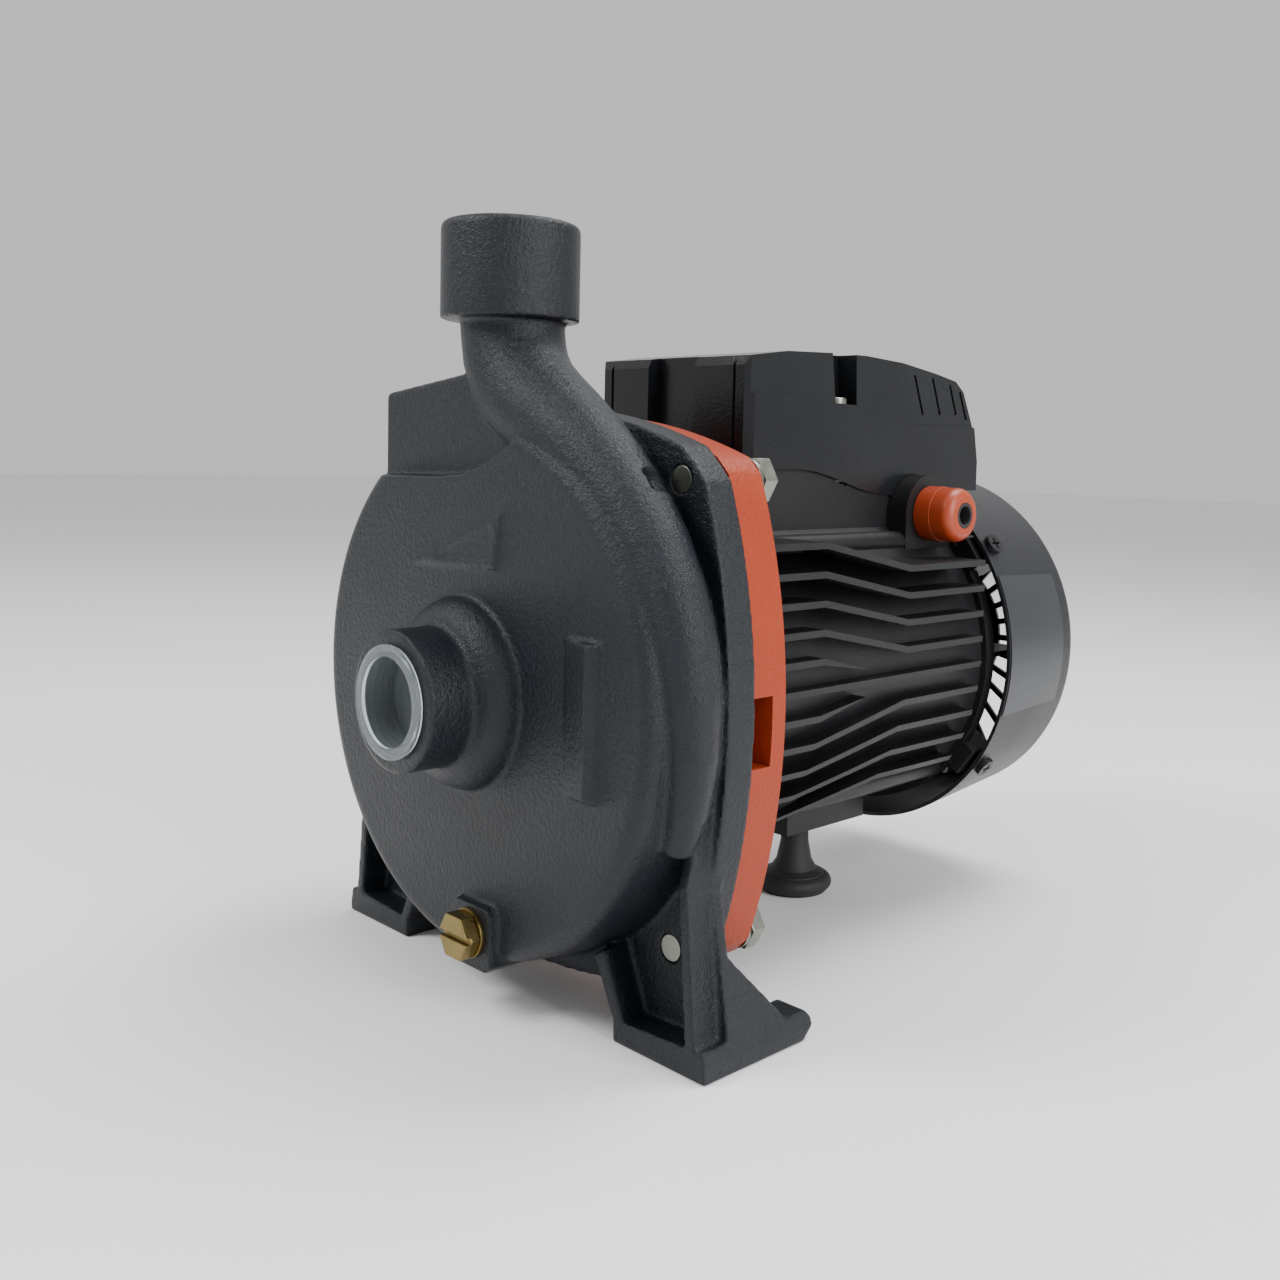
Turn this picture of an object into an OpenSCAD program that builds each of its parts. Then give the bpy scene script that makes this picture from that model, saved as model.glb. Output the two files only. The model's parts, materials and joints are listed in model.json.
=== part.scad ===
// Close-coupled centrifugal water pump: cast casing with feet, bracket, finned motor,
// fan cover and terminal box. Millimetres, +Z up. The shaft lies along Y, with the suction
// port facing -Y. The origin is on the floor, midway between the two feet.

/* [Overall] */
// Height of the shaft above the floor
shaft_h = 96.4; // [94:0.1:99]
// Height of the discharge port's face above the floor
port_top = 240; // [234:1:250]
// Width over both feet
feet_w = 184.8; // [182:0.2:190]
// Length of each foot, front to back
foot_l = 45.4; // [44:0.2:50]
// Width of each foot
foot_w = 38; // [37:0.5:39]

/* [Pump casing] */
// Distance from the flange's front to the suction port's face
suction_reach = 50.6; // [49:0.2:54]
// Outer radius of both port bosses
boss_r = 21.3; // [20.5:0.1:22]
// Inner radius of the one-inch pipe thread in both ports
port_r = 15.15; // [15.1:0.05:15.3]
// Distance from the shaft to the middle of each flange side
flange_r = 88.6; // [87:0.2:89]
// Thickness of the flange
flange_t = 11; // [10:0.5:12]
// Half the side of the square of casing bolts
bolt_half = 67.5; // [67:0.1:68]
// Radius of the volute's outside
volute_r = 83.5; // [83:0.1:84.5]
// How far the volute's centre sits beside and above the shaft
volute_shift = 1.5; // [1:0.25:2]
// Depth of the volute in front of the flange
volute_d = 25.8; // [25:0.2:27]

/* [Motor] */
// Radius of the motor's round fin line
motor_r = 67; // [66:0.5:68]
// Distance between neighbouring cooling fins
fin_pitch = 9.35; // [9:0.05:9.6]
// Thickness of a cooling fin
fin_t = 2.2; // [1.8:0.1:2.6]
// Number of fins above and below the middle one
fin_n = 5; // [4:1:5]
// Length of the stator's laminations
core_l = 60; // [50:1:64]

/* [Fan and cover] */
// Radius of the fan cover at its open end
cover_r = 72.4; // [72:0.1:73]
// Radius of the fan cover at its closed end
cover_end_r = 68.2; // [67:0.1:69]
// Length of the fan cover
cover_l = 57.6; // [56:0.2:60]
// Number of bars in the cover's grille
grille_n = 30; // [24:1:32]
// Number of fan blades
blade_n = 7; // [5:1:9]

/* [Terminal box] */
// Half the width of the terminal box
box_half = 37.6; // [37:0.1:38.5]
// Wall thickness of the terminal box
box_wall = 2.6; // [2.2:0.1:3]

/* [Hidden] */
$fn = 64;
hull_fn = 32;
gap = 0.05;

// Stations along the shaft
flange_y = foot_l / 2 - 35.5;
port_y = flange_y - suction_reach;
face_y = flange_y - volute_d;
chamber_y = face_y + 5.6;
flange_back_y = flange_y + flange_t;
discharge_y = flange_y - 9.5;
bracket_y = flange_back_y + 1.4;
bracket_back_y = flange_y + 26;
bearing_y = flange_y + 27;
bearing_w = 11;
frame_y = bracket_back_y + gap;
fin_back_y = flange_y + 157;
frame_back_y = flange_y + 166;
core_y = flange_y + 66;
rear_bearing_y = flange_y + 156;
shield_back_y = frame_back_y + 5 + gap;
cover_y = flange_y + 168.6;
cover_back_y = cover_y + cover_l;
fan_y = flange_y + 178;
stand_y = flange_y + 133;

// Shaft steps
nut_r = 5;
hub_r = 6;
seal_r = 7;
journal_r = 7.5;
core_bore_r = 9;
fan_r = 6;
bearing_od_r = 17.5;

// Shaft line pieces
eye_r = 19.4;
impeller_r = 64;
impeller_back_y = flange_y - 4;
impeller_front_y = impeller_back_y - 12.5;
shroud_t = 2.5;
passage_r = 12.5;
chamber_r = 78;
spigot_r = chamber_r - gap;
seal_wall_y = flange_y + 15;
stator_r = 57;
rotor_r = 30;
drain_x = 10.5;
drain_z = -71.5;
prong_w = 12.4;
tie_r = 60.5;
tie_angles = [47, 133, 227, 313];
cover_screw_angles = [36, 144, 216, 324];
screw_ledge_z = 93.6;
lid_screw_x = box_half - 5;
slot_y = flange_back_y + 8.5;
corner_r = 102.5;

// Terminal box stations
box_y = flange_y + 59.4;
box_back_y = flange_y + 197;
notch_y = flange_y + 110;
gland_y = flange_y + 151.5;
gland_z = 54.6;
gland_face_x = 45.4;

// ---------------------------------------------------------------- helpers

// Puts a shape built along +Z on the shaft's axis, starting at station y
module along_shaft(y) {
    translate([0, y, shaft_h]) rotate([-90, 0, 0]) children();
}

// Extrudes a front-view outline (x, height above the shaft) from y0 to y1
module front_plate(y0, y1) {
    translate([0, y1, shaft_h]) rotate([90, 0, 0]) linear_extrude(y1 - y0) children();
}

// Extrudes a side-view outline (y, height above the shaft) from x0 to x1
module side_plate(x0, x1) {
    translate([x0, 0, shaft_h]) rotate([90, 0, 90]) linear_extrude(x1 - x0) children();
}

module ring(r_out, r_in, h) {
    difference() {
        cylinder(r = r_out, h = h);
        translate([0, 0, -1]) cylinder(r = r_in, h = h + 2);
    }
}

module both_sides() {
    children();
    mirror([1, 0, 0]) children();
}

// Places a shape at each corner of the square of casing bolts
module four_corners() {
    for (x = [-bolt_half, bolt_half], z = [-bolt_half, bolt_half]) translate([x, 0, z]) {
        children();
    }
}

function polar(r, a) = [r * cos(a), r * sin(a)];

// Lens between two bowed sides, each side away from the middle
module bowed_pair(side) {
    bow = 116;
    intersection() {
        translate([bow, 0]) circle(bow + side, $fn = 180);
        translate([-bow, 0]) circle(bow + side, $fn = 180);
    }
}

// Four-cornered outline with bowed sides and the corners rounded to a radius
module bowed_square(side, corner) {
    intersection() {
        bowed_pair(side);
        rotate(90) bowed_pair(side);
        circle(corner);
    }
}

// Hexagonal prism across flats
module hexagon(flats, h) {
    cylinder(r = flats / 2 / cos(30), h = h, $fn = 6);
}

// ---------------------------------------------------------------- casing

// Stations of the delivery channel: x, height above the shaft, station y, outer radius
channel = [
    for (p = [
        [1.2, 117, 0, 16.2], [1.6, 110, 0, 16], [3, 103.5, 0.2, 16], [6, 97.5, 0.4, 15.9],
        [11, 91.8, 0.6, 15.7], [18.5, 86.8, 0.9, 15.3], [28, 81.6, 1.2, 14.6],
        [38.5, 75.5, 1.5, 13.6], [49, 68.3, 1.8, 12.7], [59.5, 59.4, 2, 11.8],
        [69.2, 48.5, 2.2, 11], [77, 36.2, 2.4, 10.2], [82.4, 22.6, 2.4, 9.4],
        [85.2, 8, 2.2, 8.6], [85.6, -7, 1.8, 7.6], [83.6, -21.6, 1.2, 6.4],
        [79.2, -34, 0.4, 4.8]
    ]) [p[0], p[1], discharge_y - p[2], p[3]]
];

// Round tube swept along the channel's stations as far as last, thinner by shrink
module channel_tube(shrink, last) {
    sides = 28;
    rings = [for (i = [0:last]) let (
        before = channel[max(i - 1, 0)], after = channel[min(i + 1, len(channel) - 1)],
        run = [after[0] - before[0], after[1] - before[1]],
        across = [-run[1], run[0]] / norm(run), r = channel[i][3] - shrink)
        [for (j = [0:sides - 1]) let (t = 360 * j / sides, c = channel[i])
            [c[0] + across[0] * r * cos(t), c[2] + r * sin(t),
                shaft_h + c[1] + across[1] * r * cos(t)]]];
    points = [for (loop = rings) each loop];
    walls = [for (i = [0:last - 1], j = [0:sides - 1]) let (k = (j + 1) % sides)
        [i * sides + j, i * sides + k, (i + 1) * sides + k, (i + 1) * sides + j]];
    start = [for (j = [sides - 1:-1:0]) j];
    end = [for (j = [0:sides - 1]) last * sides + j];
    polyhedron(points, concat([start], walls, [end]), convexity = 10);
}

// Space in front of a station back, above a ledge lowered by drop
module ledge_space(back, drop) {
    front_plate(face_y - 1, back) translate([0, -drop]) polygon([
        [-70, 65.2], [-19, 65.8], [-2, 67], [7, 69.6], [19, 74.8], [32, 83],
        [20, 110], [-70, 110]
    ]);
}

// Rounded disc of the volute, its front cut back along a ledge beside the neck
module volute_body() {
    edge = 6;
    difference() {
        translate([volute_shift, 0, volute_shift]) along_shaft(face_y) rotate_extrude() {
            polygon([
                [0, 0], [volute_r - edge, 0], [volute_r - edge, edge],
                [volute_r, edge], [volute_r + 2, volute_d], [0, volute_d]
            ]);
            intersection() {
                translate([volute_r - edge, edge]) circle(edge);
                square([volute_r, edge]);
            }
        }
        ledge_space(flange_y - 20, 0);
    }
}

// Suction port boss with its domed hub
module suction_hub() {
    hub_d = 10.1;
    along_shaft(port_y) cylinder(r = boss_r, h = face_y - port_y + 2);
    along_shaft(face_y - hub_d) rotate_extrude() {
        square([boss_r - 1.8, hub_d + 1]);
        intersection() {
            translate([boss_r - 1.8, hub_d]) circle(hub_d);
            square([40, hub_d]);
        }
    }
}

// Boss with a rounded top edge
module rounded_boss(r, h, edge) {
    rotate_extrude() {
        square([r, h - edge]);
        square([r - edge, h]);
        translate([r - edge, h - edge]) circle(edge);
    }
}

// Web that ties the neck's other side to the flange
module neck_block() {
    front_plate(flange_y - 20.01, flange_y + 2) polygon([
        [-53.5, 50], [-53.5, 91.2], [-52.4, 92.4], [-10, 97.6], [8, 97.6], [8, 50]
    ]);
}

// One foot: floor plate, two side webs, a back wall and two rear prongs
module foot() {
    outer = feet_w / 2;
    inner = outer - foot_w;
    y0 = -foot_l / 2;
    y1 = foot_l / 2;
    low = -shaft_h;
    intersection() {
        side_plate(inner - 10, outer) polygon([
            [y0, low], [y1 - 3.5, low], [y1, low + 3.5], [y1, low + 6.2],
            [y1 - 2.5, low + 8.7], [y1 - 10.8, low + 8.7], [flange_y + 3.6, -65.3],
            [flange_y + 3.6, -16], [flange_y - 1, -16], [y0 + 3, -36], [y0, -44]
        ]);
        union() {
            // side webs in front of the flange
            front_plate(y0, flange_y + 1) polygon([
                [outer - 4, low + 6], [outer - 9.2, -38], [outer - 7.5, -16],
                [outer - 16, -16], [outer - 13, -38], [outer - 8, low + 6]
            ]);
            front_plate(y0, flange_y + 1) polygon([
                [inner, low], [inner, low + 6], [inner - 9, -73], [inner - 4.5, -70],
                [inner + 4, low + 7]
            ]);
            // rear webs that run down to the prongs
            front_plate(flange_y, y1) polygon([
                [outer, low], [outer, low + 4], [outer - 9.2, -38], [outer - 7.5, -16],
                [outer - 20, -38],
                [outer - prong_w, low + 8], [outer - prong_w, low]
            ]);
            front_plate(flange_y, y1) polygon([
                [inner, low], [inner, low + 6], [inner - 9, -73], [inner + 3, -66],
                [inner + 15.1, low + 8], [inner + 15.1, low]
            ]);
            front_plate(y0, slot_y) polygon([
                [inner, low], [inner, low + 6.4], [outer - 1, low + 8.6], [outer, low + 4],
                [outer, low]
            ]);
            front_plate(flange_y, flange_back_y) polygon([
                [inner, low], [inner - 9, -73], [inner - 4, -38], [outer - 9.2, -38],
                [outer - 1, low + 8], [outer, low]
            ]);
        }
    }
}

// Slot for the foundation bolt, open at the foot's rear
module foot_slot() {
    slot_r = 5.25;
    x = feet_w / 2 - prong_w - slot_r;
    translate([x, slot_y, -1]) cylinder(r = slot_r, h = 14);
    translate([x - slot_r, slot_y, -1]) cube([2 * slot_r, foot_l, 14]);
}

// Raised outline of the rotation arrow
module arrow_mark() {
    tips = [[-25, 38.8], [18.6, 55.4], [16.5, 39.6]];
    centre = (tips[0] + tips[1] + tips[2]) / 3;
    front_plate(face_y - 0.9, face_y + 1) difference() {
        polygon(tips);
        polygon([for (p = tips) centre + 0.76 * (p - centre)]);
    }
}

// Raised pad on the face and the boss round the drain hole
module face_bosses() {
    translate([0, 0, shaft_h - 21.5]) linear_extrude(44) polygon([
        [49, face_y + 1], [50, face_y - 0.4], [61, face_y - 2.8], [64.6, face_y - 1.4],
        [66.2, face_y + 1]
    ]);
    front_plate(face_y - 3.4, face_y + 14) polygon([
        [0.5, -82.4], [0.5, -65], [2.5, -62.6], [18.5, -62.6], [20.5, -65], [20.5, -80.4],
        [18, -82.4]
    ]);
}

// Hollow of the volute, open at the back, with the water ways to both ports
module casing_hollow() {
    difference() {
        union() {
            along_shaft(chamber_y) cylinder(r = chamber_r, h = 50);
            translate([volute_shift, 0, volute_shift]) along_shaft(chamber_y) {
                cylinder(r = volute_r - 5, h = flange_y - chamber_y - 5);
            }
        }
        ledge_space(flange_y - 16.9, 4);
    }
    along_shaft(chamber_y - 3) cylinder(r = eye_r + 0.4, h = 10);
    along_shaft(port_y - 1) cylinder(r = passage_r + 0.5, h = 36);
    along_shaft(port_y - 1) cylinder(r = port_r, h = 19);
    translate([0, discharge_y, port_top - 19]) cylinder(r = port_r, h = 20);
    translate([1.2, discharge_y, port_top - 28]) cylinder(r = passage_r + 0.5, h = 20);
    channel_tube(3.6, len(channel) - 5);
}

// The whole casting, before it is divided into its body, branch and feet
module casting() {
    difference() {
        union() {
            volute_body();
            front_plate(flange_y, flange_back_y) bowed_square(flange_r, corner_r);
            suction_hub();
            channel_tube(0, len(channel) - 1);
            translate([0, discharge_y, port_top - 29.6]) rounded_boss(boss_r, 29.6, 2.2);
            neck_block();
            both_sides() foot();
            arrow_mark();
            face_bosses();
        }
        casing_hollow();
        both_sides() foot_slot();
        four_corners() along_shaft(flange_y - 12) cylinder(r = 4 + gap, h = 40);
        along_drain(face_y - 5) cylinder(r = 5.2 + gap, h = 18);
        // room for the bracket and the bolt heads behind the flange
        front_plate(bracket_y - 0.2, bracket_back_y + 9) {
            bowed_square(flange_r - 0.6, corner_r + 1.5);
        }
    }
}

// Space above the cut through the neck
module branch_space() {
    translate([-50, port_y, shaft_h + 100]) cube([100, 100, 80]);
}

// Space beyond the slanting cut at the foot on the +X side
module foot_space() {
    translate([0, port_y, shaft_h]) rotate([0, 45, 0]) {
        translate([86, 0, -120]) cube([100, 120, 240]);
    }
}

module pump_casing() {
    color("#2e353d") difference() {
        casting();
        branch_space();
        both_sides() foot_space();
    }
}

module discharge_branch() {
    color("#2e353d") intersection() {
        casting();
        branch_space();
    }
}

module foot_right() {
    color("#2e353d") intersection() {
        casting();
        foot_space();
    }
}

module foot_left() {
    color("#2e353d") intersection() {
        casting();
        mirror([1, 0, 0]) foot_space();
    }
}

// Transport plug pressed into the suction port
module suction_port_plug() {
    cup_r = port_r - 0.1;
    color("#dfe4e8") along_shaft(port_y) {
        difference() {
            union() {
                translate([0, 0, -1.8]) cylinder(r = 17.05, h = 1.8 - gap);
                translate([0, 0, -1]) cylinder(r = cup_r, h = 12.5);
            }
            translate([0, 0, -3]) cylinder(r = cup_r - 1.6, h = 12.7);
        }
        translate([0, 0, 8.5]) cylinder(r = 1.4, h = 2);
    }
}

// Axis of the drain hole, starting at station y
module along_drain(y) {
    translate([drain_x, 0, drain_z]) along_shaft(y) children();
}

module drain_plug() {
    color("#b08d4c") along_drain(face_y - 9.8) difference() {
        union() {
            hexagon(13, 5);
            translate([0, 0, 4.4]) cylinder(r = 5.2, h = 12);
        }
        translate([-9, -0.9, -1]) cube([18, 1.8, 2.8]);
    }
}

module drain_plug_washer() {
    color("#8a6a3a") along_drain(face_y - 4.8 + gap) ring(7.6, 5.2 + gap, 1.3);
}

// ---------------------------------------------------------------- wet end

// Curved vane as a ring sector between two offset circles
module vane() {
    difference() {
        translate([24, 0]) circle(38);
        translate([24, 0]) circle(35.6);
        translate([-80, -100]) square([160, 100]);
        circle(17.5);
    }
}

module impeller() {
    vane_h = impeller_back_y - shroud_t - impeller_front_y - shroud_t;
    color("#c9a25a") along_shaft(impeller_front_y) difference() {
        union() {
            cylinder(r = impeller_r, h = shroud_t);
            translate([0, 0, -4]) cylinder(r = eye_r, h = 5);
            translate([0, 0, shroud_t + vane_h]) cylinder(r = impeller_r, h = shroud_t);
            intersection() {
                translate([0, 0, shroud_t - 0.5]) linear_extrude(vane_h + 1)
                    for (i = [0:5]) rotate(i * 60) vane();
                cylinder(r = impeller_r - 1, h = 30);
            }
            cylinder(r = 11, h = impeller_back_y - impeller_front_y);
        }
        translate([0, 0, -5]) cylinder(r = 16.5, h = 5);
        translate([0, 0, -1]) ring(16.5, 11, shroud_t + 1.01);
        translate([0, 0, -5]) cylinder(r = hub_r + gap, h = 40);
        translate([-2 - gap, -hub_r - 2, 0]) cube([4 + 2 * gap, 4, 40]);
    }
}

module impeller_key() {
    color("#9aa0a6") along_shaft(impeller_front_y + 2) translate([-2, -hub_r - 1.9, 0]) {
        cube([4, 3.6, 9]);
    }
}

module impeller_nut() {
    color("#b9bec4") along_shaft(impeller_front_y - 6.1) difference() {
        hexagon(15, 6);
        translate([0, 0, -1]) cylinder(r = nut_r + gap, h = 8);
    }
}

module seal_seat() {
    color("#e9e4d8") along_shaft(seal_wall_y - 6) ring(13.5, seal_r + 1, 6);
}

module seal_carbon_ring() {
    color("#2a2a2c") along_shaft(seal_wall_y - 9.05) ring(12, seal_r + gap, 3);
}

// Helical spring, swept as one closed tube
module seal_spring() {
    wire = 0.9;
    coil_r = 10.5;
    turns = 3;
    sides = 8;
    steps = 72;
    rise = 5.6;
    spring_y = impeller_back_y + 2.5 + wire;
    rings = [for (i = [0:steps]) let (a = 360 * turns * i / steps, y = rise * i / steps)
        [for (j = [0:sides - 1]) let (b = 360 * j / sides, r = coil_r + wire * cos(b))
            [r * cos(a), r * sin(a), y + wire * sin(b)]]];
    points = [for (loop = rings) each loop];
    walls = [for (i = [0:steps - 1], j = [0:sides - 1]) let (k = (j + 1) % sides)
        [i * sides + j, i * sides + k, (i + 1) * sides + k, (i + 1) * sides + j]];
    start = [for (j = [sides - 1:-1:0]) j];
    end = [for (j = [0:sides - 1]) steps * sides + j];
    color("#c3c7cc") along_shaft(spring_y) {
        polyhedron(points, concat([start], walls, [end]), convexity = 10);
    }
}

// Rubber cup that drives the seal from the impeller's back
module seal_cup() {
    color("#1f1f21") along_shaft(impeller_back_y + gap) {
        ring(13, seal_r + gap, 2.4);
        ring(8.8, seal_r + gap, 9.5);
    }
}

module casing_o_ring() {
    color("#161616") along_shaft(flange_back_y - 5) {
        rotate_extrude() translate([spigot_r - 1.45, 0]) circle(1.4);
    }
}

// ---------------------------------------------------------------- bracket

// Disc that closes the casing, carries the shaft seal and the front bearing
module bracket() {
    rim_r = 86.4;
    color("#b94c24") difference() {
        union() {
            front_plate(bracket_y, bracket_back_y) bowed_square(rim_r, corner_r - 1);
            along_shaft(flange_y + 2) cylinder(r = spigot_r, h = bracket_y - flange_y - 1);
            along_shaft(bracket_back_y - 8) cylinder(r = 24, h = bearing_y + bearing_w
                - bracket_back_y + 8);
        }
        // recess behind the rim, for the motor's register
        along_shaft(bracket_back_y - 7) ring(78, 69, 8);
        // seal chamber, shaft hole, slinger space and bearing seat
        along_shaft(flange_y) cylinder(r = 16, h = seal_wall_y - 6 - flange_y);
        along_shaft(flange_y) cylinder(r = 13.5 + gap, h = seal_wall_y - flange_y);
        along_shaft(flange_y) cylinder(r = seal_r + 1.2, h = 40);
        along_shaft(seal_wall_y + 4) cylinder(r = 14, h = 10);
        along_shaft(bearing_y - gap) cylinder(r = bearing_od_r + 0.02, h = bearing_w + 1);
        // groove for the ring seal
        along_shaft(flange_back_y - 6.5) ring(90, spigot_r - 2.9, 3);
        // casing bolts
        four_corners() along_shaft(bracket_y - 1) cylinder(r = 4.5, h = 30);
        // threads for the tie rods
        for (a = tie_angles) along_shaft(bracket_back_y - 10) rotate(a) {
            translate([tie_r, 0, 0]) cylinder(r = 2.5 + gap, h = 12);
        }
        // side notches
        both_sides() translate([78.5, bracket_y - 1, shaft_h - 14]) cube([20, 9, 20.5]);
        // drip slot under the slinger
        translate([-5, seal_wall_y + 5, shaft_h - 95]) cube([10, 5, 80]);
    }
}

module casing_bolts() {
    head_y = bracket_back_y + 1.6 + 2 * gap;
    bolt_l = head_y - flange_y - 0.3;
    color("#b9bec4") four_corners() {
        along_shaft(head_y - bolt_l) cylinder(r = 4, h = bolt_l + 1);
        along_shaft(head_y) hexagon(13, 5.3);
    }
}

module bolt_washers() {
    color("#c6cacf") four_corners() along_shaft(bracket_back_y + gap) ring(6.6, 4 + gap, 1.6);
}

// ---------------------------------------------------------------- shaft line

module shaft() {
    tip_y = impeller_front_y - 8;
    steps = [
        [nut_r, tip_y, impeller_front_y - 0.1],
        [hub_r, impeller_front_y - 0.1, impeller_back_y],
        [seal_r, impeller_back_y, bearing_y],
        [journal_r, bearing_y, bearing_y + bearing_w],
        [core_bore_r, bearing_y + bearing_w, rear_bearing_y],
        [journal_r, rear_bearing_y, rear_bearing_y + bearing_w],
        [fan_r, rear_bearing_y + bearing_w, fan_y + 20]
    ];
    color("#aab0b6") difference() {
        for (s = steps) along_shaft(s[1]) cylinder(r = s[0], h = s[2] - s[1]);
        along_shaft(impeller_front_y + 1.9) translate([-2 - gap, -hub_r - 2, 0]) {
            cube([4 + 2 * gap, 3.8, 9.3]);
        }
        along_shaft(fan_y + 14.4) ring(fan_r + 1, fan_r - 0.6, 1.1);
    }
}

module water_slinger() {
    color("#1c1c1e") along_shaft(seal_wall_y + 5.5) {
        ring(12.5, seal_r + gap, 1.6);
        ring(9.5, seal_r + gap, 4.5);
    }
}

ball_r = 3;
ball_path_r = (journal_r + bearing_od_r) / 2;

// Ring of a ball bearing with its groove
module bearing_ring(r_in, r_out, y) {
    along_shaft(y) difference() {
        ring(r_out, r_in, bearing_w);
        translate([0, 0, bearing_w / 2]) rotate_extrude() translate([ball_path_r, 0]) {
            circle(ball_r + gap);
        }
    }
}

module bearing_balls(y) {
    along_shaft(y + bearing_w / 2) for (i = [0:7]) {
        rotate(i * 45) translate([ball_path_r, 0, 0]) sphere(ball_r);
    }
}

module front_bearing_outer_ring() {
    color("#c9cdd2") bearing_ring(ball_path_r + 1.8, bearing_od_r, bearing_y);
}

module front_bearing_inner_ring() {
    color("#c9cdd2") bearing_ring(journal_r + 0.02, ball_path_r - 1.8, bearing_y);
}

module front_bearing_balls() {
    color("#e2e5e8") bearing_balls(bearing_y);
}

module rear_bearing_outer_ring() {
    color("#c9cdd2") bearing_ring(ball_path_r + 1.8, bearing_od_r, rear_bearing_y);
}

module rear_bearing_inner_ring() {
    color("#c9cdd2") bearing_ring(journal_r + 0.02, ball_path_r - 1.8, rear_bearing_y);
}

module rear_bearing_balls() {
    color("#e2e5e8") bearing_balls(rear_bearing_y);
}

module bearing_wave_washer() {
    color("#8d9399") along_shaft(rear_bearing_y + bearing_w + gap) ring(17.2, 14.5, 1.2);
}

module rotor_core() {
    bar_n = 22;
    color("#7d8288") along_shaft(core_y) difference() {
        union() {
            cylinder(r = rotor_r, h = core_l);
            translate([0, 0, -7]) cylinder(r = rotor_r - 2, h = core_l + 14);
        }
        translate([0, 0, -8]) cylinder(r = core_bore_r + 0.02, h = core_l + 16);
        for (end = [-8, core_l + 1]) translate([0, 0, end]) cylinder(r = rotor_r - 12, h = 7);
        for (i = [0:bar_n - 1]) rotate(i * 360 / bar_n) {
            translate([rotor_r, 0, -1]) cylinder(r = 0.6, h = core_l + 2);
        }
    }
}

module stator_core() {
    slot_n = 24;
    color("#6f747a") along_shaft(core_y) linear_extrude(core_l) difference() {
        circle(stator_r);
        circle(rotor_r + 0.4);
        for (i = [0:slot_n - 1]) rotate(i * 360 / slot_n) {
            translate([rotor_r, -0.9]) square([3, 1.8]);
            translate([rotor_r + 2, -2.2]) square([13, 4.4]);
        }
    }
}

module stator_windings() {
    slot_n = 24;
    color("#b5652b") {
        along_shaft(core_y - 16) ring(50, 34, 15.9);
        along_shaft(core_y + core_l + 0.1) ring(50, 34, 15.9);
        along_shaft(core_y - 1) for (i = [0:slot_n - 1]) rotate(i * 360 / slot_n) {
            translate([rotor_r + 4.5, -2, 0]) cube([10, 4, core_l + 2]);
        }
    }
}

// ---------------------------------------------------------------- motor frame

// Outline of the fin tips: round below, straight-sided above
module fin_line(r) {
    circle(r);
    translate([-r - 0.5, 0]) square([2 * r + 1, 48]);
}

// One fin: level, then shifted one pitch towards the middle, then level again
module fin(k) {
    z0 = k * fin_pitch;
    z1 = (abs(k) - 1) * sign(k) * fin_pitch;
    bend0 = flange_y + 66;
    bend1 = flange_y + 111;
    short = abs(k) == 1;
    y0 = flange_y + 30;
    t = fin_t / 2;
    side_plate(-motor_r - 2, motor_r + 2) {
        if (k == 0) {
            translate([y0, -t]) square([fin_back_y - y0, fin_t]);
        } else if (short) {
            polygon([
                [y0, z0 - t], [bend0, z0 - t], [flange_y + 89, (z0 + z1) / 2],
                [bend0, z0 + t], [y0, z0 + t]
            ]);
        } else {
            polygon([
                [y0, z0 - t], [bend0, z0 - t], [bend1, z1 - t], [fin_back_y, z1 - t],
                [fin_back_y, z1 + t], [bend1, z1 + t], [bend0, z0 + t], [y0, z0 + t]
            ]);
        }
    }
}

// Side view of the joint between the box's base and its lid
function seam(y) =
    y < flange_y + 84 ? 70.4 :
    y > flange_y + 137 ? 61.2 :
    65.8 + 4.6 * cos((y - flange_y - 84) / 53 * 180);

seam_ys = [for (i = [0:6]) flange_y + 84 + 53 * i / 6];

// Side view of the box's base, its top edge a set drop below the joint
module base_side(y0, y1, low, drop) {
    polygon(concat(
        [[y0, low], [y0, seam(y0) - drop]], [for (y = seam_ys) [y, seam(y) - drop]],
        [[y1, seam(y1) - drop], [y1, low]]
    ));
}

// Space inside the box's base, above the round frame
module base_well() {
    difference() {
        side_plate(-box_half + 1 + box_wall, box_half - 1 - box_wall) {
            base_side(box_y + 1 + box_wall, frame_back_y - 1 - box_wall, 45, -1);
        }
        along_shaft(frame_y) cylinder(r = 64, h = 200);
        both_sides() translate([lid_screw_x, notch_y, shaft_h + 45]) cylinder(r = 4.4, h = 30);
    }
}

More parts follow.
